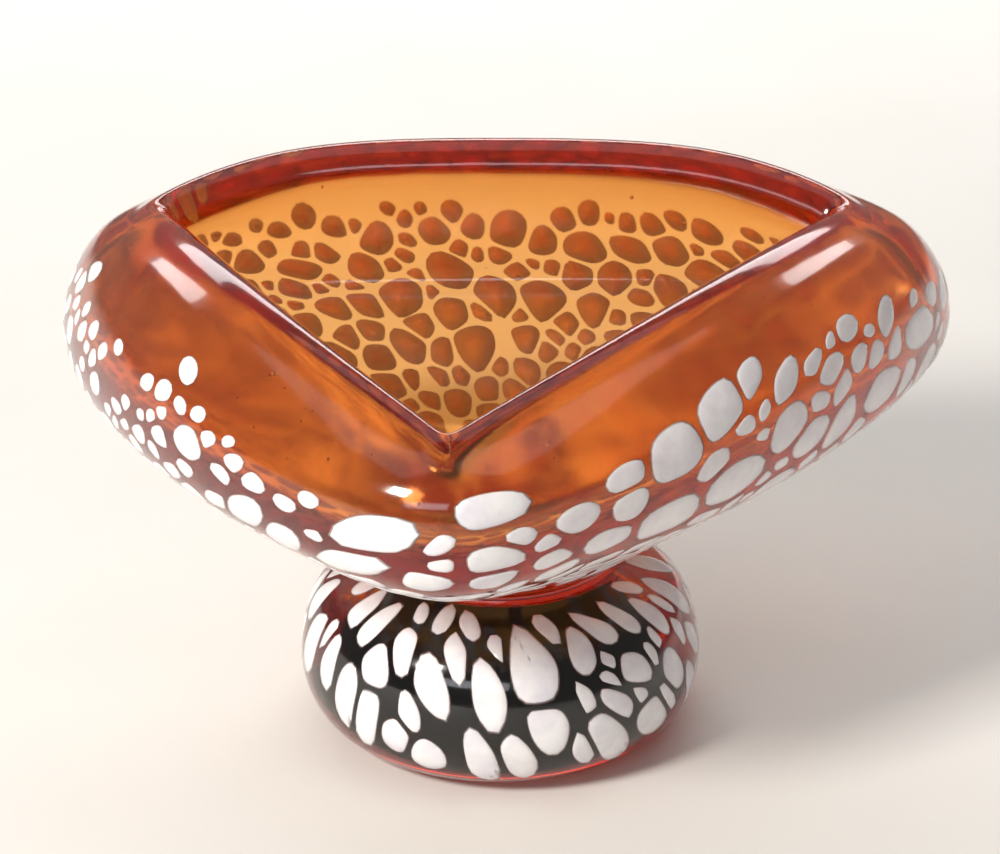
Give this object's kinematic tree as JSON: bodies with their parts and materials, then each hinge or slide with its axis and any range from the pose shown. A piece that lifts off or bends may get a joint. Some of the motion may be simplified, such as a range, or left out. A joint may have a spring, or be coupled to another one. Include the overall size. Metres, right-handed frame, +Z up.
{
  "type": "art glass bowl",
  "caption": "Thick-walled three-cornered amber glass bowl with an in-rolled lip on a squat rounded foot, its outside covered in melted white glass chips.",
  "frame": {"origin": "middle of the foot's flat resting face", "axes": "+Z up, -Y towards the front corner of the lip's side, +X to the right corner's side, along the bowl's width"},
  "size_m": [0.1589, 0.1279, 0.0897],
  "materials": {
    "amber_glass": "fire-polished clear amber",
    "dark_amber_glass": "fire-polished, reads almost black where it is thick",
    "white_glass": "fire-polished opaque white"
  },
  "bodies": {
    "root": {"bowl": "amber_glass", "bowl_chips_lower_01": "white_glass", "bowl_chips_lower_02": "white_glass", "bowl_chips_lower_03": "white_glass", "bowl_chips_lower_04": "white_glass", "bowl_chips_lower_05": "white_glass", "bowl_chips_lower_06": "white_glass", "bowl_chips_lower_07": "white_glass", "bowl_chips_lower_08": "white_glass", "bowl_chips_lower_09": "white_glass", "bowl_chips_lower_10": "white_glass", "bowl_chips_lower_11": "white_glass", "bowl_chips_lower_12": "white_glass", "bowl_chips_upper_01": "white_glass", "bowl_chips_upper_02": "white_glass", "bowl_chips_upper_03": "white_glass", "bowl_chips_upper_04": "white_glass", "bowl_chips_upper_05": "white_glass", "bowl_chips_upper_06": "white_glass", "bowl_chips_upper_07": "white_glass", "bowl_chips_upper_08": "white_glass", "bowl_chips_upper_09": "white_glass", "bowl_chips_upper_10": "white_glass", "bowl_chips_upper_11": "white_glass", "bowl_chips_upper_12": "white_glass", "foot": "dark_amber_glass", "foot_chips_lower_01": "white_glass", "foot_chips_lower_02": "white_glass", "foot_chips_lower_03": "white_glass", "foot_chips_lower_04": "white_glass", "foot_chips_lower_05": "white_glass", "foot_chips_lower_06": "white_glass", "foot_chips_lower_07": "white_glass", "foot_chips_lower_08": "white_glass", "foot_chips_upper_01": "white_glass", "foot_chips_upper_02": "white_glass", "foot_chips_upper_03": "white_glass", "foot_chips_upper_04": "white_glass", "foot_chips_upper_05": "white_glass", "foot_chips_upper_06": "white_glass", "foot_chips_upper_07": "white_glass", "foot_chips_upper_08": "white_glass"}
  },
  "joints": []
}
